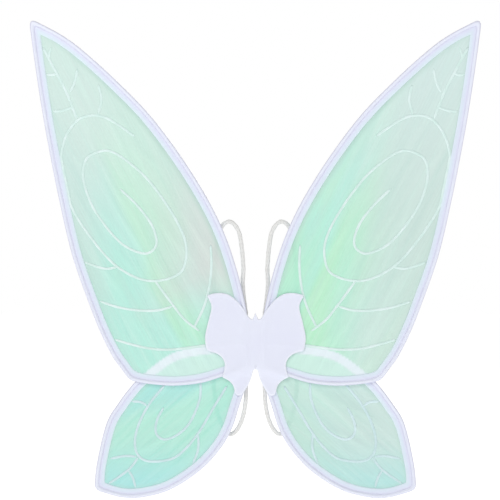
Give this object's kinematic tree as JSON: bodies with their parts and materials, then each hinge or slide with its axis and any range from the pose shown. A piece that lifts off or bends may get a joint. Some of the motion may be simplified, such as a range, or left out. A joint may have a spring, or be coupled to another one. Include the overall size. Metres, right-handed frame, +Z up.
{
  "type": "fairy wings",
  "caption": "Costume fairy wings: wire-framed film wings with raised veins and cloth bindings on a soft centre patch, with elastic shoulder loops.",
  "frame": {"origin": "middle of the back pad's outer face, which rests on the wearer's back, level with the wings' roots", "axes": "+Z up as worn, +Y towards the wearer, +X towards the wings that the picture shows on the right"},
  "size_m": [0.6762, 0.0242, 0.7166],
  "materials": {
    "iridescent_film": "thin iridescent film, mint to green with pink-grey areas, see-through, fine lengthwise crinkles",
    "satin_binding": "folded satin tape, white with a lavender and pale blue sheen",
    "vein_line": "raised white line, slightly glossy",
    "patch_cloth": "soft close-woven cloth, pale lavender white",
    "pad_foam": "open soft foam",
    "core_strip": "stiff foam sheet",
    "elastic": "braided elastic, light grey-white",
    "thread": "white polyester thread",
    "frame_wire": "drawn spring steel wire",
    "crimp_metal": "plain crimped sleeve"
  },
  "bodies": {
    "back": {"front_patch_centre": "patch_cloth", "back_patch_centre": "patch_cloth", "centre_core": "core_strip", "back_pad_foam": "pad_foam", "back_pad_cover": "patch_cloth", "strap_bar_tacks": "thread", "left_strap_ends": "elastic", "right_strap_ends": "elastic"},
    "left_wings": {"upper_left_wire": "frame_wire", "upper_left_ferrule": "crimp_metal", "upper_left_film": "iridescent_film", "upper_left_veins": "vein_line", "upper_left_binding": "satin_binding", "lower_left_wire": "frame_wire", "lower_left_ferrule": "crimp_metal", "lower_left_film": "iridescent_film", "lower_left_veins": "vein_line", "lower_left_binding": "satin_binding", "front_patch_left": "patch_cloth", "back_patch_left": "patch_cloth", "left_corner_tack": "thread"},
    "left_loop": {"left_strap": "elastic"},
    "right_wings": {"upper_right_wire": "frame_wire", "upper_right_ferrule": "crimp_metal", "upper_right_film": "iridescent_film", "upper_right_veins": "vein_line", "upper_right_binding": "satin_binding", "lower_right_wire": "frame_wire", "lower_right_ferrule": "crimp_metal", "lower_right_film": "iridescent_film", "lower_right_veins": "vein_line", "lower_right_binding": "satin_binding", "front_patch_right": "patch_cloth", "back_patch_right": "patch_cloth", "right_corner_tack": "thread"},
    "right_loop": {"right_strap": "elastic"}
  },
  "joints": [
    {"name": "left_wing_fold", "type": "hinge", "parent": "back", "child": "left_wings", "pos_m": [-0.008, -0.0156, 0], "axis": [0, 0, 1], "range_deg": [0, 85]},
    {"name": "right_wing_fold", "type": "hinge", "parent": "back", "child": "right_wings", "pos_m": [0.008, -0.0156, 0], "axis": [0, 0, -1], "range_deg": [0, 85]},
    {"name": "left_loop_swing", "type": "hinge", "parent": "back", "child": "left_loop", "pos_m": [-0.014, -0.0017, 0], "axis": [0, 0, -1], "range_deg": [0, 90]},
    {"name": "right_loop_swing", "type": "hinge", "parent": "back", "child": "right_loop", "pos_m": [0.014, -0.0017, 0], "axis": [0, 0, 1], "range_deg": [0, 90]}
  ]
}
